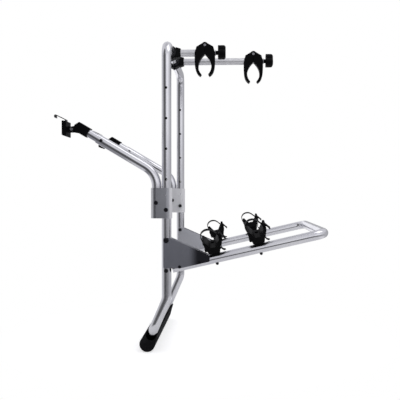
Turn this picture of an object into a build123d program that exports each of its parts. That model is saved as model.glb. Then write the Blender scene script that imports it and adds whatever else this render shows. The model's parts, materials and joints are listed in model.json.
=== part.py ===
"""Trunk mounted bike rack: a tube hoop that stands against the back of a car.

Frame of the part, in millimetres: the origin is on the axis of the bottom bar of the hoop,
midway between the legs. +Z is up, +Y points to the car and X runs across the car. Somebody
who stands behind the rack and looks at the car has -X on the left.
"""
import math
import os

from build123d import *

# Main frame
frame_width = 570.0            # between the axes of the two legs
crossbar_height = 963.0        # axis of the top bar
leg_setback = 53.0             # legs stand this far behind the bottom bar
knee_height = 122.0            # where a leg turns in towards the car
tube_radius = 16.0
tube_wall = 2.0
top_bend_radius = 38.0
knee_bend_radius = 60.0
foot_bend_radius = 42.0
hole_pitch = 100.0
lowest_hole_height = 218.0
hole_count = 7
leg_bolt_radius = 4.0
bolt_hole_clearance = 0.25
seam_gap = 0.3                 # between the upper and the lower hoop
spigot_wall = 3.0
spigot_clearance = 0.1
spigot_overlap = 24.0          # spigot past each bolt

# Bumper foam on the bottom bar
foam_radius = 26.3
foam_drop = 33.0               # from the bar to the middle of the round side, along the leg
foam_overhang = 12.0           # past each leg axis
foam_lip_height = 12.0         # lips of the slot above the bar's axis
foam_lip_thickness = 3.6
foam_clearance = 0.3
foam_notch_count = 5
foam_notch_pitch = 113.0
foam_notch_radius = 12.0
foam_notch_depth = 4.0

# Brackets that carry the arms which hold the tailgate: heights are above the bolt in the leg
bracket_foot = 28.0            # below the bolt
bracket_length = 100.0
bracket_wall = 2.5
bracket_clearance = 0.2
arm_spacing = 33.0             # arm tube in front of the leg
arm_bolt_rise = 23.0
bracket_hole_rise = 49.0
bracket_hole_radius = 2.5
bracket_bolt_radius = 4.0

# Bent outer arm
arm_knee_rise = 120.0
arm_rise = 30.6                # degrees above level
arm_bend_radius = 75.0
arm_length = 227.0             # from the knee to the open end
arm_tail_inset = 2.0           # the tube ends this far inside the bracket
lock_inset = 16.0              # lock screw from the open end
lock_screw_radius = 3.0
lock_head_radius = 5.5
lock_head_height = 3.5
screw_tip_gap = 0.3            # tip of a clamping screw to the piece that it clamps

# Telescoping inner arm
inner_arm_wall = 2.0
slide_clearance = 0.4
inner_arm_hidden = 150.0       # length inside the outer arm
inner_arm_shown = 35.0

# Knuckle, foot and hook at the end of each inner arm
knuckle_half = 16.5            # half its width and half its height
knuckle_length = 43.0
knuckle_nose = 9.0             # sloping part past the block
knuckle_seat = 30.0            # depth of the socket on the inner arm
knuckle_round = 3.0
pivot_reach = 53.0             # from the open face of the knuckle to the foot's pivot
pivot_drop = 17.0              # pivot below the arm's axis
tongue_width = 16.0
tongue_radius = 9.5
foot_pin_radius = 3.0
foot_pin_head_radius = 5.0
foot_pin_head_height = 2.0
pin_clearance = 0.06
foot_width = 60.0
foot_face = 29.0               # from the pivot to the face that meets the tailgate
foot_thickness = 15.0
foot_top = 28.0
foot_bottom = 20.0
foot_slant = 6.0
foot_round = 2.5
ear_thickness = 6.0
ear_gap = 0.4
ear_radius = 9.0
hook_width = 28.0
hook_thickness = 2.5
hook_seat_depth = 13.0
hook_neck_rise = 4.0
hook_reach = 31.0
hook_rise = 19.0
hook_lip = 12.0
hook_bend_radius = 3.5
hook_clearance = 0.1

# Platform that carries the wheels
platform_rise = 13.1           # degrees above level
rail_cross_rise = 3.0          # rail axis above the stop bolt, where it meets the leg axis
rail_start = 20.5
rail_length = 532.0
platform_bend_radius = 34.0
gusset_thickness = 3.0
gusset_gap = 0.4
gusset_back = 9.0              # past the leg axis towards the car
gusset_top_margin = 8.5        # plate above the pivot
gusset_neck = 13.0
gusset_reach = 143.0
gusset_tip_height = 20.0
gusset_foot_margin = 5.0       # plate below the rail axis
gusset_floor_gap = 1.5         # plate above the head of the lower bolt
gusset_corner_radius = 4.0
rail_bolt_radius = 3.0
rail_bolt_places = (46.0, 113.0)
pivot_clearance = 0.06
washer_radius = 9.0
washer_thickness = 1.5

# Wheel cups and their straps
cup_places = (168.0, 316.0)
cup_tilt = 22.0                # degrees, towards the wheel that lies in it
cup_length = 58.0
cup_height = 44.0
cup_base_half = 16.0
cup_top_half = 29.0
cup_wall = 6.0
cup_floor = 22.0
cup_groove_half = 9.0
cup_foot_length = 30.0
cup_foot_width = 32.0
cup_foot_drop = 13.0
cup_seat_gap = 0.3
cup_bolt_radius = 3.0
cup_bolt_seat = 8.0            # head of the bolt above the top of the rail
cup_bolt_room = 1.0
cup_rib_thickness = 3.0
cup_rib_depth = 2.5
cup_inner_rib_place = 13.0
cup_peg_height = 17.0
cup_peg_radius = 5.0
cup_peg_stand = 3.5            # middle of the peg outside the wall
cup_peg_overhang = 3.0
strap_width = 14.0
strap_thickness = 2.2
lever_height = 11.0            # lever pin above the top of the wing
lever_ear_thickness = 4.0
lever_ear_radius = 4.6
lever_gap = 0.4
lever_pin_radius = 1.8
lever_barrel_radius = 3.4
lever_length = 27.0
lever_thickness = 3.0
lever_tip_radius = 2.4
lever_droop = 55.0             # degrees below level
strap_slot_room = 1.0

# Arms that hold the bicycle frames
short_arm_place = -145.0
long_arm_place = 5.0
short_arm_reach = 120.9        # crossbar axis to the middle of the claw
long_arm_reach = 294.9
bush_wall = 2.0
fit_clearance = 0.06
bush_flange_radius = 20.4
bush_flange_thickness = 1.7
collar_width = 40.0
collar_radius = 24.0
collar_end_gap = 0.3
neck_reach = 36.0
neck_radius = 15.0
arm_tube_radius = 12.5
arm_tube_wall = 1.8
arm_tube_start = 19.5
clamp_screw_radius = 3.0
clamp_head_radius = 5.0
clamp_head_height = 5.0

# Claws
claw_half_width = 35.5
claw_thickness = 28.0
claw_pin_height = 25.0         # hinge pin above the arm axis
claw_boss_radius = 11.0
claw_drop = 82.0               # tips below the arm axis
claw_split_gap = 1.0
claw_pin_radius = 3.0
claw_pin_head_radius = 4.5
claw_pin_head_height = 1.2
claw_tongue_width = 9.6
claw_tongue_gap = 0.4
claw_socket_depth = 15.0
stud_radius = 4.0
stud_slot_gap = 0.8
stud_slot_drop = 22.0
stud_depth = 28.0              # stud past the claw's middle into its fixed half
seat_radius = 11.0
thrust_washer_radius = 10.0
thrust_washer_thickness = 2.0
thrust_gap = 0.3
knob_neck_radius = 7.4
knob_neck_length = 7.0
knob_radius = 26.5
knob_depth = 27.0
knob_lobe_count = 3
knob_lobe_share = 0.78
knob_round = 3.0
knob_crown = 8.0

# Fasteners
head_height_share = 1.1        # of the bolt radius
head_radius_share = 1.75
nut_radius_share = 1.85        # across the corners
nut_height_share = 1.6
bolt_tail = 2.0                # thread past the nut
seat_clearance = 0.1           # between pieces that are fixed to each other
cut_overrun = 1.0

# Jaw outline, as shares of the claw's half width and of its drop below the arm axis
jaw_outer_shares = ((0.99, 0.0), (1.0, -0.2), (0.98, -0.5), (0.89, -0.75), (0.72, -0.9), (0.45, -1.0))
jaw_inner_shares = ((0.33, -0.93), (0.5, -0.83), (0.64, -0.62), (0.52, -0.36), (0.25, -0.17), (0.05, -0.08))
shoulder_shares = (0.83, 0.24)

# Root of the jaw's tongue round its pin, as shares of the boss radius
tongue_shares = ((1.0, 0.5), (2.0, -0.5), (1.0, -1.5))

# Strap route, as shares of a cup's top half width and of its height
strap_shares = ((-0.634, 0), (-0.772, 0.318), (-0.948, 0.682), (-1.114, 1.045), (-1.124, 1.341),
                (-0.914, 1.58), (-0.517, 1.716), (-0.034, 1.693), (0.345, 1.534), (0.638, 1.295),
                (0.931, 1.105), (1.138, 0.961), (1.114, 0.682), (0.948, 0.341), (0.879, 0.045),
                (1.069, -0.136), (1.31, -0.182))

# Derived places
half_width = frame_width / 2
leg_y = -leg_setback
stop_height = lowest_hole_height
pivot_height = lowest_hole_height + hole_pitch
leg_bolt_height = pivot_height + hole_pitch
seam_height = (stop_height + pivot_height) / 2
rail_cross_height = stop_height + rail_cross_rise
bracket_bottom = leg_bolt_height - bracket_foot
arm_bolt_height = leg_bolt_height + arm_bolt_rise
bracket_hole_height = leg_bolt_height + bracket_hole_rise
arm_knee_height = leg_bolt_height + arm_knee_rise
lean = math.degrees(math.atan2(leg_setback, knee_height))
tube_bore = tube_radius - tube_wall
inner_arm_radius = tube_bore - slide_clearance
arm_y = leg_y + arm_spacing
platform_frame = Pos(0, leg_y, rail_cross_height) * Rot(-platform_rise, 0, 0)
sides = {"left": -1, "right": 1}
arms = {
    "short": (short_arm_place, short_arm_reach),
    "long": (long_arm_place, long_arm_reach),
}


def solid_tube(points, bends, radius):
    """A round bar along straight runs with a rounded bend at each inner point."""
    path = FilletPolyline(*points, radius=bends) if len(points) > 2 else Line(*points)
    section = Plane(origin=path @ 0, z_dir=path % 0) * Circle(radius)
    return sweep(section, path=path)


def hollow_tube(points, bends, radius, wall):
    return solid_tube(points, bends, radius) - solid_tube(points, bends, radius - wall)


def cross_pin(radius, start, end, y, z):
    """A cylinder along X from start to end."""
    middle = (start + end) / 2
    return Pos(middle, y, z) * Rot(0, 90, 0) * Cylinder(radius, abs(end - start))


def hexagon(radius, height):
    """A nut blank that stands on the plane z = 0."""
    return extrude(RegularPolygon(radius, 6), height)


def dome_head(radius, height):
    """A bolt head that stands on z = 0, with a rounded rim and a hexagon socket."""
    head = Pos(0, 0, height / 2) * Cylinder(radius, height)
    head = fillet(head.edges().group_by(Axis.Z)[-1], height / 2)
    return head - Pos(0, 0, height / 2) * hexagon(radius / 2, height)


def cross_bolt(radius, side, outer, inner, y, z, washer=False):
    """A bolt along X: its head sits on the outer face, its tail stands out past the nut."""
    head_height = radius * head_height_share
    tail = inner - radius * nut_height_share - bolt_tail
    shaft = cross_pin(radius, side * tail, side * outer, y, z)
    place = Pos(side * outer, y, z) * Rot(0, side * 90, 0)
    if washer:
        shaft += place * Pos(0, 0, washer_thickness / 2) * Cylinder(washer_radius, washer_thickness)
        place = place * Pos(0, 0, washer_thickness)
    return shaft + place * dome_head(radius * head_radius_share, head_height)


def cross_nut(radius, side, inner, y, z):
    """A nut on the inner face, bored to clear its bolt."""
    height = radius * nut_height_share
    blank = hexagon(radius * nut_radius_share, height)
    bore = Cylinder(radius + fit_clearance, height * 2 + cut_overrun)
    return Pos(side * inner, y, z) * Rot(0, -side * 90, 0) * (blank - bore)


# Hoop

def leg_holes(radius, heights):
    """Drillings through both legs."""
    reach = half_width + tube_radius + cut_overrun
    return [cross_pin(radius, -reach, reach, leg_y, height) for height in heights]


def make_upper_hoop():
    bottom = seam_height + seam_gap / 2
    points = [(-half_width, leg_y, bottom), (-half_width, leg_y, crossbar_height),
              (half_width, leg_y, crossbar_height), (half_width, leg_y, bottom)]
    hoop = hollow_tube(points, top_bend_radius, tube_radius, tube_wall)
    heights = [pivot_height + hole_pitch * step for step in range(hole_count - 1)]
    return hoop - leg_holes(leg_bolt_radius + bolt_hole_clearance, heights)


def lower_hoop_points():
    top = seam_height - seam_gap / 2
    left = [(-half_width, leg_y, top), (-half_width, leg_y, knee_height), (-half_width, 0, 0)]
    return left + [(-x, y, z) for x, y, z in reversed(left)]


lower_hoop_bends = [knee_bend_radius, foot_bend_radius, foot_bend_radius, knee_bend_radius]


def make_lower_hoop():
    hoop = hollow_tube(lower_hoop_points(), lower_hoop_bends, tube_radius, tube_wall)
    return hoop - leg_holes(leg_bolt_radius + bolt_hole_clearance, [stop_height])


def make_spigots():
    """Sleeves inside the legs that join the two hoops."""
    radius = tube_bore - spigot_clearance
    height = pivot_height - stop_height + 2 * spigot_overlap
    sleeve = Cylinder(radius, height) - Cylinder(radius - spigot_wall, height + cut_overrun)
    sleeves = [Pos(side * half_width, leg_y, seam_height) * sleeve for side in sides.values()]
    holes = leg_holes(leg_bolt_radius + bolt_hole_clearance, [stop_height, pivot_height])
    return [sleeve - holes for sleeve in sleeves]


def make_foam():
    """A closed-cell block with a round side and a slot that takes the bar and the legs."""
    slot_half = tube_radius + foam_clearance
    lip_half = slot_half + foam_lip_thickness
    length = frame_width + 2 * foam_overhang
    outline = Pos(0, -foam_drop) * Circle(foam_radius)
    outline += make_face(Polyline((-foam_radius, -foam_drop), (foam_radius, -foam_drop),
                                  (lip_half, foam_lip_height), (-lip_half, foam_lip_height), close=True))
    cutter_height = foam_lip_height + cut_overrun
    outline -= Pos(0, cutter_height / 2) * Rectangle(2 * slot_half, cutter_height)
    outline -= Circle(slot_half)
    block = extrude(Plane.YZ * outline, length / 2, both=True)
    notch_offset = foam_radius + foam_notch_radius - foam_notch_depth
    reach = foam_drop + foam_radius + foam_lip_height
    for step in range(foam_notch_count):
        x = (step - (foam_notch_count - 1) / 2) * foam_notch_pitch
        block -= Pos(x, -notch_offset, -foam_drop) * Cylinder(foam_notch_radius, 2 * reach)
    block = Rot(lean, 0, 0) * block
    return block


# Brackets and outer arms

def make_bracket(side):
    radius = tube_radius + bracket_clearance
    outer = SlotCenterToCenter(arm_spacing, 2 * (radius + bracket_wall))
    inner = SlotCenterToCenter(arm_spacing, 2 * radius)
    place = Pos(side * half_width, (leg_y + arm_y) / 2, bracket_bottom)
    sleeve = place * extrude(Rot(0, 0, 90) * (outer - inner), bracket_length)
    start = side * (half_width - 2 * tube_radius)
    end = side * (half_width + 2 * tube_radius)
    bolt_hole = bracket_bolt_radius + bolt_hole_clearance
    sleeve -= cross_pin(bolt_hole, start, end, arm_y, arm_bolt_height)
    sleeve -= cross_pin(bolt_hole, start, end, leg_y, leg_bolt_height)
    return sleeve - cross_pin(bracket_hole_radius, start, end, leg_y, bracket_hole_height)


def arm_place(side, reach):
    """A place on the sloping arm, with +Y along it towards the car."""
    return Pos(side * half_width, arm_y, arm_knee_height) * Rot(arm_rise, 0, 0) * Pos(0, reach, 0)


def make_outer_arm(side):
    x = side * half_width
    end = (arm_place(side, arm_length)).position
    points = [(x, arm_y, bracket_bottom + arm_tail_inset), (x, arm_y, arm_knee_height), tuple(end)]
    tube = hollow_tube(points, arm_bend_radius, tube_radius, tube_wall)
    start = x - 2 * tube_radius
    stop = x + 2 * tube_radius
    tube -= cross_pin(bracket_bolt_radius + bolt_hole_clearance, start, stop, arm_y, arm_bolt_height)
    lock = arm_place(side, arm_length - lock_inset) * Rot(0, 90, 0)
    return tube - lock * Cylinder(lock_screw_radius + fit_clearance, 4 * tube_radius)


def make_lock_screw(side, face):
    """A short screw through one wall of the outer arm, with its tip on the inner arm."""
    tip = inner_arm_radius + screw_tip_gap
    length = tube_radius - tip
    screw = Pos(0, 0, tip + length / 2) * Cylinder(lock_screw_radius, length)
    screw += Pos(0, 0, tube_radius) * dome_head(lock_head_radius, lock_head_height)
    return arm_place(side, arm_length - lock_inset) * Rot(0, face * 90, 0) * screw


def bracket_face():
    return half_width + tube_radius + bracket_clearance + bracket_wall


def bracket_inner_face():
    return half_width - tube_radius - bracket_clearance - bracket_wall


bracket_bolt_places = ((arm_y, arm_bolt_height), (leg_y, leg_bolt_height))


def make_bracket_bolts():
    return [cross_bolt(bracket_bolt_radius, side, bracket_face(), bracket_inner_face(), y, z)
            for side in sides.values() for y, z in bracket_bolt_places]


def make_bracket_nuts():
    return [cross_nut(bracket_bolt_radius, side, bracket_inner_face(), y, z)
            for side in sides.values() for y, z in bracket_bolt_places]


# Bolts in the legs: the upper pair carries the platform, the lower pair pins the spigots

plate_outer = half_width + tube_radius + gusset_gap + gusset_thickness
plate_inner = half_width - tube_radius - gusset_gap - gusset_thickness


def make_leg_bolts():
    bolts = []
    for side in sides.values():
        bolts.append(cross_bolt(leg_bolt_radius, side, plate_outer + gusset_gap,
                                plate_inner - gusset_gap, leg_y, pivot_height, washer=True))
        bolts.append(cross_bolt(leg_bolt_radius, side, half_width + tube_radius,
                                half_width - tube_radius, leg_y, stop_height))
    return bolts


def make_leg_nuts():
    nuts = []
    for side in sides.values():
        nuts.append(cross_nut(leg_bolt_radius, side, plate_inner - gusset_gap, leg_y, pivot_height))
        nuts.append(cross_nut(leg_bolt_radius, side, half_width - tube_radius, leg_y, stop_height))
    return nuts


# Platform, built flat in its own frame: -Y runs out along the rails, Z is square to them

def make_platform_loop():
    points = [(-half_width, -rail_start, 0), (-half_width, -rail_length, 0),
              (half_width, -rail_length, 0), (half_width, -rail_start, 0)]
    loop = hollow_tube(points, platform_bend_radius, tube_radius, tube_wall)
    reach = half_width + tube_radius + cut_overrun
    for place in rail_bolt_places:
        loop -= cross_pin(rail_bolt_radius + bolt_hole_clearance, -reach, reach, -place, 0)
    for side in sides.values():
        for place in cup_places:
            hole = Cylinder(cup_bolt_radius + bolt_hole_clearance, 4 * tube_radius)
            loop -= Pos(side * half_width, -place, 0) * hole
    return platform_frame * loop


def make_gusset(side):
    """Two plates, one on each face of the leg, from the pivot bolt to the rail bolts."""
    rise = math.tan(math.radians(platform_rise))
    top = pivot_height + gusset_top_margin
    drop = gusset_foot_margin / math.cos(math.radians(platform_rise))
    floor = stop_height + leg_bolt_radius * head_radius_share + gusset_floor_gap
    corner = (floor + drop - rail_cross_height) / rise

    def rail_line(reach):
        return rail_cross_height + rise * reach - drop

    outline = Polyline((gusset_back, top), (-gusset_neck, top),
                       (-gusset_reach, rail_line(gusset_reach) + gusset_tip_height),
                       (-gusset_reach, rail_line(gusset_reach)),
                       (-corner, floor), (gusset_back, floor), close=True)
    face = make_face(outline)
    face = fillet(face.vertices(), gusset_corner_radius)
    plate = extrude(Plane.YZ * face, gusset_thickness)
    hole = pivot_clearance + leg_bolt_radius
    rail_hole = rail_bolt_radius + bolt_hole_clearance
    plates = []
    for start in (plate_outer - gusset_thickness, plate_inner):
        x = side * start if side > 0 else side * start - gusset_thickness
        piece = Pos(x, leg_y, 0) * plate
        piece -= cross_pin(hole, x - cut_overrun, x + gusset_thickness + cut_overrun, leg_y, pivot_height)
        for place in rail_bolt_places:
            centre = (platform_frame * Pos(0, -place, 0)).position
            piece -= cross_pin(rail_hole, x - cut_overrun, x + gusset_thickness + cut_overrun,
                               centre.Y, centre.Z)
        plates.append(piece)
    return plates


def make_rail_bolts():
    return [platform_frame * cross_bolt(rail_bolt_radius, side, plate_outer, plate_inner, -place, 0)
            for side in sides.values() for place in rail_bolt_places]


def make_rail_nuts():
    return [platform_frame * cross_nut(rail_bolt_radius, side, plate_inner, -place, 0)
            for side in sides.values() for place in rail_bolt_places]


# Wheel cups: each has its own frame above the rail, tilted towards its wheel.
# A point of the profile is (across, up); across runs out along the rail.

def cup_frame(side, place):
    lift = tube_radius + cup_foot_drop
    return platform_frame * Pos(side * half_width, -place, lift) * Rot(0, side * cup_tilt, 0)


def profile_prism(face, width):
    """A profile drawn as (outwards, up) made into a solid, centred on the plane x = 0."""
    drawing = Plane(origin=(0, 0, 0), x_dir=(0, -1, 0), z_dir=(-1, 0, 0))
    return extrude(drawing * face, width / 2, both=True)


def wing_outline(margin):
    """Outer V of a cup, made wider by a margin."""
    return make_face(Polyline((-cup_base_half - margin, 0), (cup_base_half + margin, 0),
                              (cup_top_half + margin, cup_height),
                              (-cup_top_half - margin, cup_height), close=True))


def wheel_groove():
    top = cup_height + lever_height * 2
    lean_out = (cup_top_half - cup_wall - cup_groove_half) / (cup_height - cup_floor)
    reach = cup_groove_half + lean_out * (top - cup_floor)
    return make_face(Polyline((-cup_groove_half, cup_floor), (cup_groove_half, cup_floor),
                              (reach, top), (-reach, top), close=True))


lever_across = cup_top_half
lever_up = cup_height + lever_height
ear_reach = (strap_width / 2) + strap_slot_room


def make_cup(side, place):
    body = profile_prism(wing_outline(0), cup_length)
    rib = profile_prism(wing_outline(cup_rib_depth), cup_rib_thickness)
    end_rib = (cup_length - cup_rib_thickness) / 2
    for x in (-end_rib, -cup_inner_rib_place, cup_inner_rib_place, end_rib):
        body += Pos(x, 0, 0) * rib
    body -= profile_prism(wheel_groove(), 2 * cup_length)
    wall = cup_base_half + (cup_top_half - cup_base_half) * cup_peg_height / cup_height
    for x in (-1, 1):
        body += cross_pin(cup_peg_radius, x * (cup_length / 2 + cup_peg_overhang), x * ear_reach,
                          wall + cup_peg_stand, cup_peg_height)
    ear = Pos(lever_across, lever_up) * Circle(lever_ear_radius)
    ear += Pos(lever_across, lever_up - lever_height / 2 - cup_wall / 2) * Rectangle(
        2 * lever_ear_radius, lever_height + cup_wall)
    ear -= Pos(lever_across, lever_up) * Circle(lever_pin_radius + pin_clearance)
    ear_plate = profile_prism(ear, lever_ear_thickness)
    for x in (-1, 1):
        body += Pos(x * (ear_reach + lever_ear_thickness / 2), 0, 0) * ear_plate
    body = cup_frame(side, place) * body
    on_rail = platform_frame * Pos(side * half_width, -place, 0)
    lift = tube_radius + cup_foot_drop
    foot = Box(cup_foot_length, cup_foot_width, cup_foot_drop * 2)
    body += on_rail * Pos(0, 0, lift - cup_foot_drop / 2) * foot
    body -= on_rail * Rot(90, 0, 0) * Cylinder(tube_radius + cup_seat_gap, 4 * cup_foot_width)
    head_room = cup_bolt_radius * head_radius_share + cup_bolt_room
    seat = tube_radius + cup_bolt_seat
    body -= on_rail * Pos(0, 0, seat + cup_height / 2) * Cylinder(head_room, cup_height)
    return body - on_rail * Cylinder(cup_bolt_radius + bolt_hole_clearance, 4 * lift)


def cup_bolt(side, place):
    head = dome_head(cup_bolt_radius * head_radius_share, cup_bolt_radius * head_height_share)
    top = tube_radius + cup_bolt_seat
    bottom = -tube_radius - cup_bolt_radius * nut_height_share - bolt_tail
    shaft = Pos(0, 0, (top + bottom) / 2) * Cylinder(cup_bolt_radius, top - bottom)
    return platform_frame * Pos(side * half_width, -place, 0) * (shaft + Pos(0, 0, top) * head)


def cup_nut(side, place):
    height = cup_bolt_radius * nut_height_share
    nut = hexagon(cup_bolt_radius * nut_radius_share, height)
    nut -= Cylinder(cup_bolt_radius + fit_clearance, 2 * height + cut_overrun)
    return platform_frame * Pos(side * half_width, -place, -tube_radius - height) * nut


def make_strap(side, place):
    """One strap: up the inner wing, over the wheel, under the lever and down the outer wing."""
    points = [(across * cup_top_half, up * cup_height) for across, up in strap_shares]
    band = trace(Spline(*points), strap_thickness)
    return cup_frame(side, place) * profile_prism(band, strap_width)


def make_lever(side, place):
    blade = Pos(lever_length / 2, 0) * Rectangle(lever_length, lever_thickness)
    blade += Pos(lever_length, 0) * Circle(lever_tip_radius)
    blade = Rot(0, 0, -lever_droop) * blade + Circle(lever_barrel_radius)
    width = 2 * (ear_reach - lever_gap)
    lever = profile_prism(Pos(lever_across, lever_up) * blade, width)
    lever += profile_prism(Pos(lever_across, lever_up) * Circle(lever_pin_radius),
                           width + 2 * (lever_ear_thickness + lever_gap))
    return cup_frame(side, place) * lever


# Inner arms, knuckles, feet and hooks

def make_inner_arm(side):
    start = arm_length - inner_arm_hidden
    end = arm_length + inner_arm_shown + knuckle_seat - seat_clearance
    length = end - start
    tube = Cylinder(inner_arm_radius, length)
    tube -= Cylinder(inner_arm_radius - inner_arm_wall, length + cut_overrun)
    return arm_place(side, (start + end) / 2) * Rot(90, 0, 0) * tube


def knuckle_frame(side):
    """Open face of the knuckle; a profile point there is (along the arm, up from its axis)."""
    return arm_place(side, arm_length + inner_arm_shown)


def side_prism(face, width):
    """A profile drawn as (towards the car, up) made into a solid centred on the arm."""
    return extrude(Plane.YZ * face, width / 2, both=True)


def foot_frame(side):
    pivot = (knuckle_frame(side) * Pos(0, pivot_reach, -pivot_drop)).position
    return Pos(*pivot)


def make_knuckle(side):
    half = knuckle_half
    block = make_face(Polyline((0, -half), (0, half), (knuckle_length, half),
                               (knuckle_length + knuckle_nose, 0),
                               (knuckle_length, -half), close=True))
    block = fillet(block.vertices().group_by(Axis.X)[-1], knuckle_round)
    body = side_prism(block, 2 * half)
    body = fillet(body.edges().filter_by(Axis.Y), knuckle_round)
    tongue = Pos(pivot_reach, -pivot_drop) * Circle(tongue_radius)
    root = knuckle_length - knuckle_seat / 2
    tongue += make_face(Polyline((root, half - knuckle_round),
                                 (pivot_reach + tongue_radius / 2, tongue_radius - pivot_drop),
                                 (pivot_reach, -pivot_drop - tongue_radius), (root, -half), close=True))
    body += side_prism(tongue, tongue_width)
    bore = Cylinder(inner_arm_radius + seat_clearance, 2 * knuckle_seat)
    body -= Rot(90, 0, 0) * bore
    pin_bore = Rot(0, 90, 0) * Cylinder(foot_pin_radius + seat_clearance, 2 * foot_width)
    return knuckle_frame(side) * body - foot_frame(side) * pin_bore


def ear_span():
    """Outer face of the foot's ears from the middle of the arm."""
    return tongue_width / 2 + ear_gap + ear_thickness


def hook_points():
    seat = foot_face - foot_thickness / 2
    top = foot_top + hook_neck_rise
    return [(seat, foot_top - hook_seat_depth), (seat, top),
            (foot_face + hook_reach, top + hook_rise),
            (foot_face + hook_reach - hook_lip / 3, top + hook_rise - hook_lip)]


def hook_band(thickness):
    return trace(FilletPolyline(*hook_points(), radius=hook_bend_radius), thickness)


def make_foot(side):
    back = foot_face - foot_thickness
    pad = make_face(Polyline((foot_face, foot_top), (foot_face, -foot_bottom),
                             (back, -foot_bottom - foot_slant), (back, foot_top - foot_round),
                             close=True))
    pad = fillet(pad.vertices(), foot_round)
    body = side_prism(pad, foot_width)
    ear = Circle(ear_radius) + Pos(back / 2, 0) * Rectangle(back + foot_round, 2 * ear_radius)
    ear = side_prism(ear, ear_thickness)
    for sign in (-1, 1):
        body += Pos(sign * (tongue_width / 2 + ear_gap + ear_thickness / 2), 0, 0) * ear
    body -= Rot(0, 90, 0) * Cylinder(foot_pin_radius + pin_clearance, 2 * foot_width)
    body -= side_prism(hook_band(hook_thickness + 2 * hook_clearance), hook_width + 2 * hook_clearance)
    return foot_frame(side) * body


def make_foot_pin(side):
    reach = ear_span() + ear_gap
    pin = cross_pin(foot_pin_radius, -reach, reach, 0, 0)
    for sign in (-1, 1):
        pin += cross_pin(foot_pin_head_radius, sign * reach, sign * (reach + foot_pin_head_height), 0, 0)
    return foot_frame(side) * pin


def make_hook(side):
    return foot_frame(side) * side_prism(hook_band(hook_thickness), hook_width)


# Frame arms: each has its own frame at the crossbar, with +Y still towards the car

def arm_frame(place):
    return Pos(place, leg_y, crossbar_height)


def ring(outer, inner, length):
    """A ring round the crossbar."""
    return Rot(0, 90, 0) * (Cylinder(outer, length) - Cylinder(inner, length + cut_overrun))


bush_bore = tube_radius + fit_clearance
bush_radius = bush_bore + bush_wall
collar_bore = bush_radius + fit_clearance


def make_bush(place):
    half = collar_width / 2 + collar_end_gap
    bush = ring(bush_radius, bush_bore, 2 * (half + bush_flange_thickness))
    for sign in (-1, 1):
        flange = ring(bush_flange_radius, bush_bore, bush_flange_thickness)
        bush += Pos(sign * (half + bush_flange_thickness / 2), 0, 0) * flange
    return arm_frame(place) * bush


def make_collar(place):
    body = Rot(0, 90, 0) * Cylinder(collar_radius, collar_width)
    body = chamfer(body.edges(), knob_round / 2)
    start = Plane(origin=(0, -arm_tube_start, 0), z_dir=(0, -1, 0))
    end = start.offset(neck_reach - arm_tube_start)
    neck = loft([start * RectangleRounded(collar_width - knob_round, 2 * arm_tube_start, knob_round),
                 end * RectangleRounded(2 * neck_radius, 2 * neck_radius, neck_radius / 2)])
    body += neck
    body -= Rot(0, 90, 0) * Cylinder(collar_bore, collar_width + cut_overrun)
    socket = Cylinder(arm_tube_radius + seat_clearance, 2 * neck_reach)
    body -= Pos(0, -arm_tube_start - neck_reach, 0) * Rot(90, 0, 0) * socket
    body -= Pos(0, 0, -collar_radius) * Cylinder(clamp_screw_radius + fit_clearance, collar_radius)
    return arm_frame(place) * body


def make_clamp_screw(place):
    top = -collar_bore - screw_tip_gap
    length = collar_radius + top
    screw = Pos(0, 0, top - length / 2) * Cylinder(clamp_screw_radius, length)
    head = Pos(0, 0, -collar_radius) * Rot(180, 0, 0) * dome_head(clamp_head_radius, clamp_head_height)
    return arm_frame(place) * (screw + head)


def make_arm_tube(place, reach):
    end = reach - claw_half_width + claw_socket_depth
    start = arm_tube_start + seat_clearance
    length = end - start - seat_clearance
    tube = Cylinder(arm_tube_radius, length)
    tube -= Cylinder(arm_tube_radius - arm_tube_wall, length + cut_overrun)
    return arm_frame(place) * Pos(0, -start - length / 2, 0) * Rot(90, 0, 0) * tube


# Claws: a profile point is (outwards, up) from the arm's axis at the claw's middle

def claw_frame(place, reach):
    return arm_frame(place) * Pos(0, -reach, 0)


def claw_half_face():
    """The outer half of the claw, from the split to its outer edge."""
    def scaled(shares):
        return [(across * claw_half_width, up * claw_drop) for across, up in shares]

    outer = scaled(jaw_outer_shares)
    inner = scaled(jaw_inner_shares)
    shoulder = (shoulder_shares[0] * claw_half_width, shoulder_shares[1] * claw_drop)
    slope = math.atan2(claw_pin_height - shoulder[1], shoulder[0])
    crest = (claw_boss_radius * math.sin(slope), claw_pin_height + claw_boss_radius * math.cos(slope))
    split = claw_split_gap / 2
    foot = (split, inner[-1][1] + claw_split_gap)
    lines = Polyline(foot, (split, claw_pin_height), crest, shoulder, outer[0])
    lines += Spline(*outer)
    lines += Line(outer[-1], inner[0])
    lines += Spline(*inner)
    lines += Line(inner[-1], foot)
    return make_face(lines)


def pin_disc(radius, width):
    return profile_prism(Pos(0, claw_pin_height) * Circle(radius), width)


def stud_bore(radius):
    return Rot(90, 0, 0) * Cylinder(radius, 4 * claw_half_width)


def make_claw_base(place, reach):
    """The fixed half: socket for the arm tube, fork for the hinge pin and bore for the stud."""
    half = mirror(profile_prism(claw_half_face(), claw_thickness), Plane.XZ)
    body = half + pin_disc(claw_boss_radius, claw_thickness)
    body -= pin_disc(claw_boss_radius + claw_tongue_gap, claw_tongue_width + 2 * claw_tongue_gap)
    body -= pin_disc(claw_pin_radius + fit_clearance, 2 * claw_thickness)
    socket = Cylinder(arm_tube_radius + fit_clearance, 2 * claw_socket_depth)
    body -= Pos(0, claw_half_width, 0) * Rot(90, 0, 0) * socket
    body -= stud_bore(stud_radius + fit_clearance)
    return claw_frame(place, reach) * body


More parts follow.
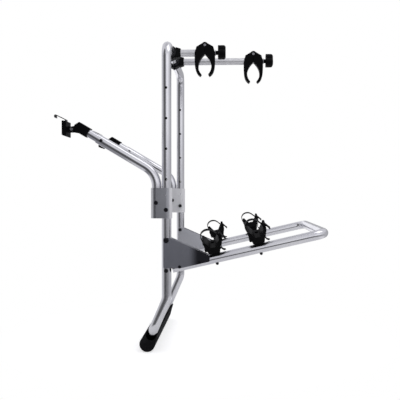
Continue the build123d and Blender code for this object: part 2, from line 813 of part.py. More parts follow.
def make_jaw(place, reach):
    """The swinging half: a tongue on the pin, a slot for the stud and a round seat for its washer."""
    body = profile_prism(claw_half_face(), claw_thickness)
    seat_centre = claw_half_width - seat_radius
    body += profile_prism(Pos(seat_centre, 0) * Circle(seat_radius), claw_thickness)
    body -= pin_disc(claw_boss_radius + claw_tongue_gap, 2 * claw_thickness)
    root = [(across * claw_boss_radius, claw_pin_height + up * claw_boss_radius)
            for across, up in tongue_shares]
    tongue = make_face(Polyline((claw_split_gap / 2, claw_pin_height), *root, close=True))
    tongue += Pos(0, claw_pin_height) * Circle(claw_boss_radius)
    body += profile_prism(tongue, claw_tongue_width)
    body -= pin_disc(claw_pin_radius + fit_clearance, 2 * claw_thickness)
    room = stud_radius + stud_slot_gap
    slot = Box(2 * room, 4 * claw_half_width, room + stud_slot_drop)
    body -= Pos(0, 0, (room - stud_slot_drop) / 2) * slot
    return claw_frame(place, reach) * body


def make_jaw_pin(place, reach):
    pin = pin_disc(claw_pin_radius, claw_thickness)
    for sign in (-1, 1):
        x = sign * (claw_thickness + claw_pin_head_height) / 2
        pin += Pos(x, 0, 0) * pin_disc(claw_pin_head_radius, claw_pin_head_height)
    return claw_frame(place, reach) * pin


washer_start = claw_half_width + thrust_gap
knob_start = washer_start + thrust_washer_thickness + thrust_gap


def make_stud(place, reach):
    start = -stud_depth
    end = knob_start + knob_neck_length + knob_depth / 2
    stud = Pos(0, -(start + end) / 2, 0) * Rot(90, 0, 0) * Cylinder(stud_radius, end - start)
    return claw_frame(place, reach) * stud


def make_washer(place, reach):
    washer = Cylinder(thrust_washer_radius, thrust_washer_thickness)
    washer -= Cylinder(stud_radius + fit_clearance, thrust_washer_thickness + cut_overrun)
    middle = washer_start + thrust_washer_thickness / 2
    return claw_frame(place, reach) * Pos(0, -middle, 0) * Rot(90, 0, 0) * washer


def make_knob(place, reach):
    """A three-lobed knob moulded on a neck, domed on its outer face."""
    lobe = knob_radius * (1 - knob_lobe_share / 2)
    ring_radius = knob_radius - lobe
    face = Circle(lobe)
    for step in range(knob_lobe_count):
        angle = 2 * math.pi * step / knob_lobe_count + math.pi / 2
        face += Pos(ring_radius * math.cos(angle), ring_radius * math.sin(angle)) * Circle(lobe)
    head = extrude(face, knob_depth)
    head = fillet(head.edges().group_by(Axis.Z)[-1], knob_crown)
    head = fillet(head.edges().group_by(Axis.Z)[0], knob_round / 2)
    neck = Pos(0, 0, -knob_neck_length / 2) * Cylinder(knob_neck_radius, knob_neck_length + cut_overrun)
    body = head + neck
    body -= Cylinder(stud_radius + seat_clearance, knob_depth + seat_clearance)
    start = knob_start + knob_neck_length + cut_overrun / 2
    return claw_frame(place, reach) * Pos(0, -start, 0) * Rot(90, 0, 0) * body


parts = {
    "upper_hoop": make_upper_hoop(),
    "lower_hoop": make_lower_hoop(),
    "hoop_spigots": make_spigots(),
    "bumper_foam": make_foam(),
    "bracket_bolts": make_bracket_bolts(),
    "bracket_nuts": make_bracket_nuts(),
    "leg_bolts": make_leg_bolts(),
    "leg_nuts": make_leg_nuts(),
    "platform_loop": make_platform_loop(),
    "rail_bolts": make_rail_bolts(),
    "rail_nuts": make_rail_nuts(),
    "arm_lock_screws": [make_lock_screw(side, face) for side in sides.values() for face in (-1, 1)],
    "cup_bolts": [cup_bolt(side, place) for side in sides.values() for place in cup_places],
    "cup_nuts": [cup_nut(side, place) for side in sides.values() for place in cup_places],
    "wheel_straps": [make_strap(side, place) for side in sides.values() for place in cup_places],
}
for name, side in sides.items():
    parts[f"bracket_{name}"] = make_bracket(side)
    parts[f"outer_arm_{name}"] = make_outer_arm(side)
    parts[f"gusset_{name}"] = make_gusset(side)
    parts[f"inner_arm_{name}"] = make_inner_arm(side)
    parts[f"knuckle_{name}"] = make_knuckle(side)
    parts[f"foot_{name}"] = make_foot(side)
    parts[f"foot_pin_{name}"] = make_foot_pin(side)
    parts[f"tailgate_hook_{name}"] = make_hook(side)
    for row, place in zip(("inner", "outer"), cup_places):
        parts[f"wheel_cup_{name}_{row}"] = make_cup(side, place)
        parts[f"buckle_lever_{name}_{row}"] = make_lever(side, place)
for name, (place, reach) in arms.items():
    parts[f"{name}_arm_bush"] = make_bush(place)
    parts[f"{name}_arm_collar"] = make_collar(place)
    parts[f"{name}_arm_clamp_screw"] = make_clamp_screw(place)
    parts[f"{name}_arm_tube"] = make_arm_tube(place, reach)
    parts[f"{name}_arm_claw"] = make_claw_base(place, reach)
    parts[f"{name}_arm_jaw"] = make_jaw(place, reach)
    parts[f"{name}_arm_jaw_pin"] = make_jaw_pin(place, reach)
    parts[f"{name}_arm_stud"] = make_stud(place, reach)
    parts[f"{name}_arm_washer"] = make_washer(place, reach)
    parts[f"{name}_arm_knob"] = make_knob(place, reach)


def as_shape(part):
    return Compound(children=list(part)) if isinstance(part, list) else part


os.makedirs("parts", exist_ok=True)
for name, part in parts.items():
    export_step(as_shape(part), f"parts/{name}.step")
print("wrote", len(parts), "parts")
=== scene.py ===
"""The looks of a tailgate bicycle carrier: materials, foam, straps, floor, light and camera."""
import json
import math

import bpy
from mathutils import Matrix, Vector, noise


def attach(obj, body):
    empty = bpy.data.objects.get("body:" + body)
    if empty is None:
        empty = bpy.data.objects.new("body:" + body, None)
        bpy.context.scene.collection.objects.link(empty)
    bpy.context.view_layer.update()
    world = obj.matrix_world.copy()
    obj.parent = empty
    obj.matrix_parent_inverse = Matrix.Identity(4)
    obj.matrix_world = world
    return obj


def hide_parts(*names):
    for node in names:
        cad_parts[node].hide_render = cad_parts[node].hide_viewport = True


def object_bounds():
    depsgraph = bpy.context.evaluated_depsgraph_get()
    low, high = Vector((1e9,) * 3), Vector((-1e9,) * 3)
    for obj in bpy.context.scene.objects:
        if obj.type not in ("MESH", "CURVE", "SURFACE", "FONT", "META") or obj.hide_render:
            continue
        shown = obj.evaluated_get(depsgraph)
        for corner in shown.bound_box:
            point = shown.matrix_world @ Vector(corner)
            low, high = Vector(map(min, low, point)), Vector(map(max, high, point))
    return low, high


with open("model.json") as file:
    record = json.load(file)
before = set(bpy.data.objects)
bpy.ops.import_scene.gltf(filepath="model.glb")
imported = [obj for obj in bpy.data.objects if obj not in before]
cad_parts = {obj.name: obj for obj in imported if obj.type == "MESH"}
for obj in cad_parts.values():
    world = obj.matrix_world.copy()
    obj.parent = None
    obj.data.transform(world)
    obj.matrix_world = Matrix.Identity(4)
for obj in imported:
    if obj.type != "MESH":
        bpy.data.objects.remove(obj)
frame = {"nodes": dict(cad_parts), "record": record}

cad_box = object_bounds()
MM = 0.001

# Sizes shared with the solids, in metres and radians
leg_x = 285 * MM
leg_setback = 53 * MM
leg_y = -leg_setback
knee_height = 122 * MM
lean = math.atan2(leg_setback, knee_height)
tube_radius = 16 * MM
tube_wall = 2 * MM
open_hole_heights = [height * MM for height in (518, 618, 718, 818)]
open_hole_radius = 4.25 * MM
foam_radius = 26.3 * MM
foam_drop = 33 * MM
foam_slot = 16.3 * MM
foam_lip = 3.6 * MM
foam_lip_height = 12 * MM
foam_notch_places = [step * 113 * MM for step in (-2, -1, 0, 1, 2)]
foam_notch_radius = 12 * MM
foam_notch_depth = 4 * MM
platform_rise = math.radians(13.1)
rail_cross = 221 * MM
cup_lift = 29 * MM
cup_tilt = math.radians(22)
cup_places = {"inner": 168 * MM, "outer": 316 * MM}
cup_top_half = 29 * MM
cup_height = 44 * MM
strap_width = 14 * MM
strap_thickness = 2.2 * MM
sides = {"left": -1, "right": 1}

# Strap route, as shares of a cup's top half width and of its height
strap_shares = ((-0.634, 0), (-0.772, 0.318), (-0.948, 0.682), (-1.114, 1.045), (-1.124, 1.341),
                (-0.914, 1.58), (-0.517, 1.716), (-0.034, 1.693), (0.345, 1.534), (0.638, 1.295),
                (0.931, 1.105), (1.138, 0.961), (1.114, 0.682), (0.948, 0.341), (0.879, 0.045),
                (1.069, -0.136), (1.31, -0.182))

# What only this scene shapes: the holes' liners (painted shade), the foam's surface and the straps' teeth
shade_liner_sides = 24
shade_liner_bore = 2.2 * MM               # its radius
shade_liner_clearance = 0.05 * MM         # to the wall of the hole
shade_liner_inset = 0.4 * MM              # below the tube's outer face
foam_half_length = 281 * MM         # 16 mm less than the solid's, so that the tube's bend shows past it
foam_sections = 260
foam_end_sections = 8
foam_end_round = 5 * MM
foam_middle_share = 0.55            # of the drop, where the middle of the section lies
foam_slot_margin = 0.1 * MM         # for telling the slot's points from the rest
foam_grain = ((260, 0.18 * MM), (45, 0.35 * MM))    # scale and depth of fine and broad unevenness
strap_points_per_span = 24
strap_core_share = 0.8              # of the thickness, under the pad and the teeth
strap_pad = 0.25 * MM
strap_tooth = 0.7 * MM
strap_tooth_pitch = 3.2 * MM
strap_tooth_shares = (0.15, 0.55)   # of the pitch, where a tooth starts and ends
strap_toothed_from = 0.42           # of the length
strap_tip_share = 0.45              # of the width, left at the tip
strap_tip_slope = 9 * MM            # length in which the tip would widen by a whole width


class Nodes:
    """Short calls that build a node tree."""

    def __init__(self, tree):
        self.tree = tree
        tree.nodes.clear()

    def add(self, kind, inputs=(), **settings):
        """A new node. An input is a value or another node's output."""
        node = self.tree.nodes.new(kind)
        for name, value in settings.items():
            setattr(node, name, value)
        for key, value in dict(inputs).items():
            socket = node.inputs[key]
            if isinstance(value, bpy.types.NodeSocket):
                self.tree.links.new(value, socket)
            else:
                socket.default_value = value
        return node

    def math(self, operation, *values):
        return self.add("ShaderNodeMath", enumerate(values), operation=operation).outputs[0]

    def ramp(self, value, low, high, start=0.0, end=1.0):
        """A smooth step from start to end as value goes from low to high."""
        inputs = {"Value": value, "From Min": low, "From Max": high, "To Min": start, "To Max": end}
        return self.add("ShaderNodeMapRange", inputs, interpolation_type="SMOOTHSTEP").outputs[0]

    def fade(self, angle, low, high, start=0.0, end=1.0):
        """A ramp over an angle, with its bounds in degrees."""
        return self.ramp(angle, math.radians(low), math.radians(high), start, end)

    def mix(self, factor, first, second):
        return self.add("ShaderNodeMix", {0: factor, 6: first, 7: second}, data_type="RGBA").outputs[2]

    def place(self):
        return self.add("ShaderNodeTexCoord").outputs["Object"]

    def noise(self, vector, scale, detail=3.0, rough=0.5):
        inputs = {"Vector": vector, "Scale": scale, "Detail": detail, "Roughness": rough}
        return self.add("ShaderNodeTexNoise", inputs).outputs[0]

    def cells(self, vector, scale):
        return self.add("ShaderNodeTexVoronoi", {"Vector": vector, "Scale": scale}).outputs["Distance"]

    def bump(self, height, strength, distance):
        inputs = {"Height": height, "Strength": strength, "Distance": distance}
        return self.add("ShaderNodeBump", inputs).outputs[0]

    def surface(self, **inputs):
        """The finished surface. A _ in an input's name stands for a space."""
        named = {key.replace("_", " "): value for key, value in inputs.items()}
        shader = self.add("ShaderNodeBsdfPrincipled", named)
        self.add("ShaderNodeOutputMaterial", {"Surface": shader.outputs[0]})

    def emission(self, strength):
        return self.add("ShaderNodeEmission", {"Color": rgb(1, 1, 1), "Strength": strength}).outputs[0]


def rgb(red, green, blue):
    return (red, green, blue, 1.0)


def new_material(name):
    material = bpy.data.materials.new(name)
    material.use_nodes = True
    return material, Nodes(material.node_tree)


def metal(name, light, dark, roughness, grain):
    """Anodised or plated metal: fine grain, cloudy gloss and a few faint level rubs."""
    material, n = new_material(name)
    place = n.place()
    level = n.add("ShaderNodeMapping", {"Vector": place, "Scale": (3, 3, 60)}).outputs[0]
    fine = n.noise(place, scale=grain, detail=4.0)
    cloud = n.noise(place, scale=9.0, detail=2.0)
    rubs = n.noise(level, scale=4.0, detail=5.0, rough=0.7)
    gloss = n.math("ADD", n.ramp(fine, 0.3, 0.7, roughness - 0.03, roughness + 0.04),
                   n.ramp(rubs, 0.62, 0.75, 0.0, 0.06))
    n.surface(Base_Color=n.mix(n.ramp(cloud, 0.35, 0.65), rgb(*dark), rgb(*light)), Metallic=1.0,
              Roughness=gloss, Normal=n.bump(fine, strength=0.25, distance=0.02 * MM))
    return material


def satin_metal(name, light, dark, metallic, roughness):
    """Bead-blasted aluminium: soft, even light over the whole tube."""
    material, n = new_material(name)
    place = n.place()
    fine = n.noise(place, scale=1600.0, detail=4.0)
    cloud = n.noise(place, scale=12.0)
    n.surface(Base_Color=n.mix(n.ramp(cloud, 0.35, 0.65), rgb(*dark), rgb(*light)), Metallic=metallic,
              Roughness=n.ramp(fine, 0.3, 0.7, roughness - 0.04, roughness + 0.05),
              Normal=n.bump(fine, strength=0.3, distance=0.03 * MM))
    return material


def shade_painted_metal(name, outer, inner, inner_metallic, roughness, painted_tip_shade_tone):
    """Plates with light and shade painted on: flat outward faces get the darker outer colour, a painted
    shade, and what is left of them the paler inner one, painted light.

    The last argument is the share of the outer colour that is left at the tip farthest from the leg: the
    outer faces darken towards it, a painted dark reflection.
    """
    material, n = new_material(name)
    blend = 2 * MM
    # Where the painted dark reflection on the outer faces is darkest, and where it starts
    dark_reflection_end = leg_y - 106 * MM
    dark_reflection_start = leg_y - 70 * MM
    spot = n.add("ShaderNodeTexCoord").outputs
    place = spot["Object"]
    x, y, _ = n.add("ShaderNodeSeparateXYZ", {0: place}).outputs
    facing = n.math("ABSOLUTE", n.add("ShaderNodeSeparateXYZ", {0: spot["Normal"]}).outputs["X"])
    # Mask of the flat faces outside the legs, which get the outer colour: painted shade
    outward = n.math("MULTIPLY", n.ramp(n.math("ABSOLUTE", x), leg_x - blend, leg_x + blend),
                     n.ramp(facing, 0.7, 0.97))
    # Share of the colour kept, falling towards the tip of the outer faces: painted dark reflection
    tip = n.math("MAXIMUM", n.ramp(y, dark_reflection_end, dark_reflection_start, painted_tip_shade_tone, 1.0), n.math("SUBTRACT", 1.0, outward))
    fine = n.noise(place, scale=900.0, detail=4.0)
    cloud = n.ramp(n.noise(place, scale=14.0), 0.3, 0.7, 0.92, 1.0)
    colour = n.mix(outward, rgb(*inner), rgb(*outer))
    # Towards near black: painted dark reflection at the tip, times a random cloudy tone
    colour = n.mix(n.math("MULTIPLY", cloud, tip), rgb(0.01, 0.01, 0.014), colour)
    n.surface(Base_Color=colour,
              Metallic=n.math("MULTIPLY_ADD", outward, 1 - inner_metallic, inner_metallic),
              Roughness=n.ramp(fine, 0.3, 0.7, roughness - 0.04, roughness + 0.05),
              Normal=n.bump(fine, strength=0.2, distance=0.02 * MM))
    return material


def plastic(name, colour, worn, roughness, gloss, grain=1400.0, depth=0.06 * MM):
    """Moulded plastic or webbing with a pebbled skin, paler in patches where it is handled."""
    material, n = new_material(name)
    place = n.place()
    cloud = n.noise(place, scale=40.0, detail=4.0)
    n.surface(Base_Color=n.mix(n.ramp(cloud, 0.45, 0.75), rgb(*colour), rgb(*worn)),
              Roughness=n.ramp(cloud, 0.3, 0.7, roughness - 0.05, roughness + 0.07),
              Specular_IOR_Level=gloss, Normal=n.bump(n.cells(place, grain), strength=0.4, distance=depth))
    return material


def foam(name):
    """Closed-cell foam: small round pores and a dull, dusty surface."""
    material, n = new_material(name)
    place = n.place()
    pores = n.ramp(n.cells(place, 420.0), 0.1, 0.55)
    cloud = n.noise(place, scale=30.0, detail=5.0)
    n.surface(Base_Color=n.mix(n.ramp(cloud, 0.4, 0.7), rgb(0.006, 0.006, 0.007), rgb(0.016, 0.016, 0.018)),
              Roughness=n.ramp(cloud, 0.2, 0.8, 0.82, 0.95),
              Specular_IOR_Level=0.15, Normal=n.bump(pores, strength=0.7, distance=0.5 * MM))
    return material


materials = {
    "aluminium_tube": metal("aluminium_tube", light=(0.83, 0.83, 0.86), dark=(0.77, 0.77, 0.81),
                            roughness=0.16, grain=1500.0),
    # Painted shade on the plates' and sleeves' outward faces; painted dark reflection at the plates' tips
    "aluminium_plate": shade_painted_metal("aluminium_plate", outer=(0.43, 0.44, 0.50), inner=(0.74, 0.75, 0.79),
                                   inner_metallic=0.7, roughness=0.28, painted_tip_shade_tone=0.1),
    "bracket_sleeve": shade_painted_metal("bracket_sleeve", outer=(0.52, 0.53, 0.57), inner=(0.95, 0.95, 0.97),
                                  inner_metallic=0.1, roughness=0.3, painted_tip_shade_tone=1.0),
    "black_plastic": plastic("black_plastic", colour=(0.0025, 0.0025, 0.003), worn=(0.005, 0.005, 0.006),
                             roughness=0.5, gloss=0.08),
    "black_foam": foam("black_foam"),
    "strap": plastic("strap", colour=(0.002, 0.002, 0.0025), worn=(0.004, 0.004, 0.005),
                     roughness=0.45, gloss=0.1, grain=2400.0, depth=0.03 * MM),
    "black_steel": metal("black_steel", light=(0.045, 0.045, 0.05), dark=(0.02, 0.02, 0.024),
                         roughness=0.38, grain=2000.0),
    "steel": metal("steel", light=(0.30, 0.30, 0.32), dark=(0.2, 0.2, 0.22), roughness=0.3, grain=1800.0),
    "bush_plastic": plastic("bush_plastic", colour=(0.012, 0.012, 0.014), worn=(0.02, 0.02, 0.024),
                            roughness=0.5, gloss=0.25),
}

# The tubes of the two arms that hold bicycles are duller than the other tubes of their slot
satin_tube = satin_metal("satin_tube", light=(0.88, 0.88, 0.90), dark=(0.82, 0.82, 0.85),
                         metallic=0.55, roughness=0.34)
satin_nodes = ("short_arm_tube", "long_arm_tube")

for sub in frame["record"]["subparts"]:
    slots = frame["nodes"][sub["node"]].data.materials
    slots.clear()
    slots.append(satin_tube if sub["node"] in satin_nodes else materials[sub["material_slot"]])


def add_object(name, data):
    made = bpy.data.objects.new(name, data)
    bpy.context.scene.collection.objects.link(made)
    return made


def mesh_piece(name, points, faces, slot, smooth):
    mesh = bpy.data.meshes.new(name)
    mesh.from_pydata(points, [], faces)
    mesh.validate()
    if smooth:
        mesh.shade_smooth()
    mesh.materials.append(materials[slot])
    piece = add_object(name, mesh)
    return piece


def loft_faces(sections, around):
    """Faces of a closed loft through sections that each have the same number of points."""
    faces = []
    for section in range(sections - 1):
        here = section * around
        there = here + around
        for i in range(around):
            after = (i + 1) % around
            faces.append((here + i, here + after, there + after, there + i))
    faces.append(tuple(reversed(range(around))))
    faces.append(tuple((sections - 1) * around + i for i in range(around)))
    return faces


# Black liners in the legs' open bolt holes: painted shade for the dark inside of the hollow tube

def shade_liner_points(leg, wall, height):
    """Corners of one liner, four for each step round the hole."""
    inner_face = tube_radius - tube_wall
    outer_face = tube_radius - shade_liner_inset
    rim = open_hole_radius - shade_liner_clearance
    section = ((inner_face, rim), (outer_face, rim), (outer_face, shade_liner_bore), (inner_face, shade_liner_bore))
    points = []
    for i in range(shade_liner_sides):
        angle = 2 * math.pi * i / shade_liner_sides
        for x, radius in section:
            points.append((leg * leg_x + wall * x, leg_y + radius * math.cos(angle),
                           height + radius * math.sin(angle)))
    return points


def hole_shade_liners():
    """A thin black ring in each wall of each open hole, all in one piece: painted shade for the hole's dark
    inside.
    """
    corners = 4
    points = []
    faces = []
    rings = [(leg, wall, height) for leg in sides.values() for wall in (-1, 1)
             for height in open_hole_heights]
    for leg, wall, height in rings:
        first = len(points)
        points += shade_liner_points(leg, wall, height)
        for i in range(shade_liner_sides):
            here = first + corners * i
            there = first + corners * ((i + 1) % shade_liner_sides)
            for k in range(corners):
                after = (k + 1) % corners
                face = (here + k, here + after, there + after, there + k)
                faces.append(face if wall > 0 else face[::-1])
    piece = mesh_piece("leg_hole_shade_liners", points, faces, "black_plastic", smooth=False)
    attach(piece, "frame")


# Foam on the bottom bar

def arc_points(radius, start, end, count, middle=(0.0, 0.0)):
    """Points on an arc, without the last."""
    angles = [start + (end - start) * i / count for i in range(count)]
    return [(middle[0] + radius * math.cos(a), middle[1] + radius * math.sin(a)) for a in angles]


def line_points(first, last, count):
    """Points from first towards last, without the last."""
    return [(first[0] + (last[0] - first[0]) * i / count, first[1] + (last[1] - first[1]) * i / count)
            for i in range(count)]


def foam_outline():
    """The section of the foam, counter-clockwise: round side below, slot for the bar above."""
    lip = foam_slot + foam_lip
    lip_round = foam_lip / 2
    outline = arc_points(foam_radius, -math.pi, 0, 39, (0, -foam_drop))
    outline += line_points((foam_radius, -foam_drop), (lip, foam_lip_height), 14)
    outline += arc_points(lip_round, 0, math.pi, 6, (lip - lip_round, foam_lip_height))
    outline += line_points((foam_slot, foam_lip_height), (foam_slot, 0), 5)
    outline += arc_points(foam_slot, 0, -math.pi, 27)
    outline += line_points((-foam_slot, 0), (-foam_slot, foam_lip_height), 5)
    outline += arc_points(lip_round, 0, math.pi, 6, (lip_round - lip, foam_lip_height))
    outline += line_points((-lip, foam_lip_height), (-foam_radius, -foam_drop), 14)
    return outline


def foam_places():
    """Where the foam's sections stand along it, closer together where its ends round off."""
    turns = [math.pi / 2 * i / foam_end_sections for i in range(foam_end_sections)]
    end = [-foam_half_length + foam_end_round * (1 - math.cos(turn)) for turn in turns]
    straight = foam_half_length - foam_end_round
    middle = [-straight + 2 * straight * i / foam_sections for i in range(foam_sections + 1)]
    return end + middle + [-x for x in reversed(end)]


def foam_front(x):
    """The lowest y of the foam's section at x: its round side, or the bottom of a notch."""
    front = -foam_radius
    for middle in foam_notch_places:
        across = abs(x - middle)
        if across < foam_notch_radius:
            bulge = math.sqrt(foam_notch_radius ** 2 - across ** 2)
            front = max(front, foam_notch_depth + bulge - foam_radius - foam_notch_radius)
    return front


def foam_section(x, outline):
    """The points of the foam's section at x, drawn in near an end, notched and a little uneven."""
    past = max(0.0, abs(x) - (foam_half_length - foam_end_round)) / foam_end_round
    draw_in = foam_end_round * (1 - math.sqrt(max(0.0, 1 - past * past)))
    front = foam_front(x)
    middle = Vector((0.0, -foam_drop * foam_middle_share))
    points = []
    for y, z in outline:
        in_slot = abs(y) <= foam_slot + foam_slot_margin and z > -foam_slot - foam_slot_margin
        if not in_slot:
            inward = (Vector((y, z)) - middle).normalized() * draw_in
            y, z = y - inward.x, z - inward.y
        point = Vector((x, max(y, front), z))
        if not in_slot:
            dent = abs(sum(noise.noise(point * scale) * depth for scale, depth in foam_grain))
            point.y -= math.copysign(dent, point.y)
        points.append(point)
    return points


def foam_piece():
    lean_turn = Matrix.Rotation(lean, 4, "X")
    outline = foam_outline()
    places = foam_places()
    points = [lean_turn @ point for x in places for point in foam_section(x, outline)]
    faces = loft_faces(len(places), len(outline))
    piece = mesh_piece("bumper_foam_block", points, faces, "black_foam", smooth=True)
    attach(piece, "frame")
    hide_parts("bumper_foam")


# Straps over the wheels

def cup_matrix(side, row):
    """The frame of a cup: origin on its floor line, x across the car, -y out along the rail."""
    platform = Matrix.Translation((0, leg_y, rail_cross)) @ Matrix.Rotation(-platform_rise, 4, "X")
    return (platform @ Matrix.Translation((side * leg_x, -cup_places[row], cup_lift))
            @ Matrix.Rotation(side * cup_tilt, 4, "Y"))


def smooth_route(points, per_span):
    """A smooth curve through the points, sampled evenly in each span."""
    ends = [2 * points[0] - points[1]] + points + [2 * points[-1] - points[-2]]
    route = []
    for a, b, c, d in zip(ends, ends[1:], ends[2:], ends[3:]):
        for k in range(per_span):
            t = k / per_span
            route.append(0.5 * ((2 * b) + (c - a) * t + (2 * a - 5 * b + 4 * c - d) * t * t
                                + (3 * b - a - 3 * c + d) * t ** 3))
    return route + [points[-1]]


def strap_section(width, thickness, ridge):
    """A flat band with rounded edges; ridge thickens its outer face."""
    side = width / 2
    face = thickness / 2
    edge = 0.4 * face
    corner = side - 0.6 * face
    ridge_foot = 0.72 * side
    ridge_top = 0.66 * side
    top = face + ridge
    return [(-side, -edge), (-corner, -face), (corner, -face), (side, -edge), (side, edge), (corner, face),
            (ridge_foot, face), (ridge_top, top), (-ridge_top, top), (-ridge_foot, face), (-corner, face),
            (-side, edge)]


def strap_ridge(run, length):
    """Height of the strap's outer face above its core, at a run along it: a pad, then teeth."""
    if run <= strap_toothed_from * length:
        return strap_pad
    first, last = strap_tooth_shares
    phase = (run % strap_tooth_pitch) / strap_tooth_pitch
    return strap_tooth if first < phase < last else 0.0


def strap_sections():
    """The strap's sections in the frame of its cup, from its fixed end to its tip."""
    route = [Vector((0, -across * cup_top_half, up * cup_height)) for across, up in strap_shares]
    route = smooth_route(route, strap_points_per_span)
    length = sum((b - a).length for a, b in zip(route, route[1:]))
    across = Vector((1, 0, 0))
    last = len(route) - 1
    sections = []
    run = 0.0
    for i, place in enumerate(route):
        before = route[max(i - 1, 0)]
        after = route[min(i + 1, last)]
        run += (place - before).length
        outward = across.cross((after - before).normalized())
        width = strap_width * min(1.0, strap_tip_share + (length - run) / strap_tip_slope)
        section = strap_section(width, strap_thickness * strap_core_share, strap_ridge(run, length))
        sections.append([place + across * x + outward * out for x, out in section])
    return sections


def strap_pieces():
    sections = strap_sections()
    faces = loft_faces(len(sections), len(sections[0]))
    for side_name, side in sides.items():
        for row in cup_places:
            matrix = cup_matrix(side, row)
            points = [matrix @ point for section in sections for point in section]
            piece = mesh_piece(f"wheel_strap_{side_name}_{row}", points, faces, "strap", smooth=False)
            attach(piece, "platform")
            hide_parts("wheel_straps")


def shade_nodes():
    """Smooth shading on the solids' curved faces, crisp edges elsewhere."""
    for node in frame["nodes"].values():
        node.data.shade_smooth()
        node.data.set_sharp_from_angle(angle=math.radians(32))


# Floor, light and camera

# Brightness of the studio's walls by direction, in degrees from -X towards +Y: above eye level,
# and below it
high_walls = ((-180, 0.45), (-147, 0.40), (-97, 0.50), (-67, 0.66), (-42, 0.95), (-15, 1.0),
              (0, 0.85), (8, 0.45), (17, 0.2), (33, 0.09), (57, 0.12), (72, 0.32), (87, 0.58),
              (128, 0.62), (180, 1.0))
low_walls = ((-180, 0.45), (-147, 0.42), (-97, 0.50), (-67, 0.37), (-42, 0.23), (-15, 0.18),
             (8, 0.10), (33, 0.06), (57, 0.26), (72, 0.5), (87, 0.62), (128, 0.66), (180, 1.0))


def shown_to(n, rays, rest, shown):
    """One shader for the named rays and another for the rest."""
    path = n.add("ShaderNodeLightPath").outputs
    seen = path[rays[0]]
    for ray in rays[1:]:
        seen = n.math("MAXIMUM", seen, path[ray])
    return n.add("ShaderNodeMixShader", {0: seen, 1: rest, 2: shown}).outputs[0]


def glowing(n, lit, strength):
    return n.add("ShaderNodeAddShader", {0: lit, 1: n.emission(strength)}).outputs[0]


def make_floor():
    """A small white floor that fades into the white around it; metal sees it a little darker."""
    material, n = new_material("floor")
    half = 0.75
    fade_from = 0.6 * half
    fade_to = 0.97 * half
    glow_seen = 0.6
    glow_in_metal = 0.1
    away = n.add("ShaderNodeVectorMath", {0: n.place()}, operation="LENGTH").outputs["Value"]
    lit = n.add("ShaderNodeBsdfDiffuse", {"Color": rgb(0.8, 0.8, 0.8)}).outputs[0]
    seen = n.add("ShaderNodeMixShader", {0: n.ramp(away, fade_from, fade_to),
                                         1: glowing(n, lit, glow_seen), 2: n.emission(1.0)}).outputs[0]
    surface = shown_to(n, ("Is Glossy Ray",), lit, glowing(n, lit, glow_in_metal))
    surface = shown_to(n, ("Is Camera Ray", "Is Transmission Ray"), surface, seen)
    n.add("ShaderNodeOutputMaterial", {"Surface": surface})
    mesh = bpy.data.meshes.new("floor")
    mesh.from_pydata([(-half, -half, 0), (half, -half, 0), (half, half, 0), (-half, half, 0)], [],
                     [(0, 1, 2, 3)])
    mesh.materials.append(material)
    floor = add_object("floor", mesh)
    low, high = cad_box
    gap = 0.5 * MM
    floor.location = ((low[0] + high[0]) / 2, (low[1] + high[1]) / 2, low[2] - gap)


def wall_ramp(n, turn, tones):
    """The tones, interpolated over a direction in radians. The ramp's own two stops take the outermost."""
    walls = n.add("ShaderNodeValToRGB", {0: n.math("MULTIPLY_ADD", turn, 0.5 / math.pi, 0.5)})
    stops = walls.color_ramp.elements
    for angle, _ in tones[1:-1]:
        stops.new((angle + 180) / 360)
    for stop, (_, tone) in zip(stops, tones):
        stop.color = rgb(tone, tone, tone * 1.04)
    return walls.outputs[0]


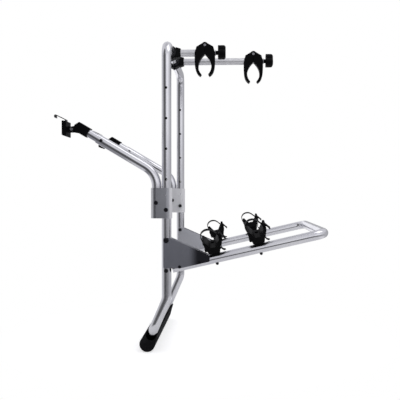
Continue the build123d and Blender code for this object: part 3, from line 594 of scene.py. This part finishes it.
def make_world():
    """A pale studio: white to look at, with grey walls and one dark side for the metal to show.

    turn is the direction that the walls' tones are given by, and rise is the angle above eye level.
    """
    world = bpy.data.worlds.new("studio")
    world.use_nodes = True
    bpy.context.scene.world = world
    n = Nodes(world.node_tree)
    way = n.add("ShaderNodeTexCoord").outputs["Generated"]
    x, y, z = n.add("ShaderNodeSeparateXYZ", {0: way}).outputs
    turn = n.math("ARCTAN2", y, n.math("MULTIPLY", x, -1.0))
    rise = n.math("ARCSINE", z)

    walls = n.mix(n.fade(rise, -7, 9), wall_ramp(n, turn, low_walls), wall_ramp(n, turn, high_walls))

    # The sky starts above the walls, and higher up on the dark side
    sky = n.mix(n.fade(rise, 50, 80), rgb(0.68, 0.68, 0.71), rgb(0.52, 0.52, 0.55))
    dark_side = n.math("MULTIPLY", n.fade(turn, 14, 26), n.fade(turn, 62, 80, 1.0, 0.0))
    held_dark = n.math("MULTIPLY", dark_side, n.fade(rise, 40, 60, 1.0, 0.0))
    above = n.math("MULTIPLY", n.fade(rise, 14, 34), n.math("SUBTRACT", 1.0, held_dark))
    colour = n.mix(above, walls, sky)

    # The ground is dark straight below, pale towards the platform and dark towards the car
    platform_ground = n.mix(n.fade(rise, -85, -50), rgb(0.12, 0.12, 0.14), rgb(0.78, 0.78, 0.80))
    car_ground = n.mix(n.fade(rise, -45, -22), rgb(0.25, 0.25, 0.27), rgb(0.08, 0.08, 0.09))
    ground = n.mix(n.fade(turn, 1, 14), platform_ground, car_ground)
    colour = n.mix(n.fade(rise, -38, -22, 1.0, 0.0), colour, ground)

    room = n.add("ShaderNodeBackground", {"Color": colour, "Strength": 1.0}).outputs[0]
    white = n.add("ShaderNodeBackground", {"Color": rgb(1, 1, 1), "Strength": 1.0}).outputs[0]
    shown = shown_to(n, ("Is Camera Ray", "Is Transmission Ray"), room, white)
    n.add("ShaderNodeOutputWorld", {"Surface": shown})


def make_lamp():
    """One wide soft lamp, high up beyond the platform's outer end."""
    place = Vector((-0.6, -1.2, 2.6))
    aim = Vector((0, -0.1, 0.4))
    lamp = bpy.data.lights.new("top_soft", "AREA")
    lamp.shape = "SQUARE"
    lamp.size = 1.6
    lamp.energy = 8
    holder = add_object("top_soft", lamp)
    holder.location = place
    holder.rotation_euler = (aim - place).to_track_quat("-Z", "Y").to_euler()


def make_camera():
    """Level with the middle of the object, on its left, turned a little towards the car."""
    yaw = math.radians(2.85)
    pitch = math.radians(-0.83)
    way = Vector((math.cos(pitch) * math.cos(yaw), math.cos(pitch) * math.sin(yaw), math.sin(pitch)))
    camera = bpy.data.cameras.new("camera")
    camera.sensor_width = 36.0
    camera.lens = 56.34
    holder = add_object("camera", camera)
    holder.location = (-2.343, -0.266, 0.480)
    holder.rotation_euler = way.to_track_quat("-Z", "Y").to_euler()
    bpy.context.scene.camera = holder


hole_shade_liners()
foam_piece()
strap_pieces()
shade_nodes()
make_floor()
make_world()
make_lamp()
make_camera()
bpy.context.scene.view_settings.view_transform = "Standard"
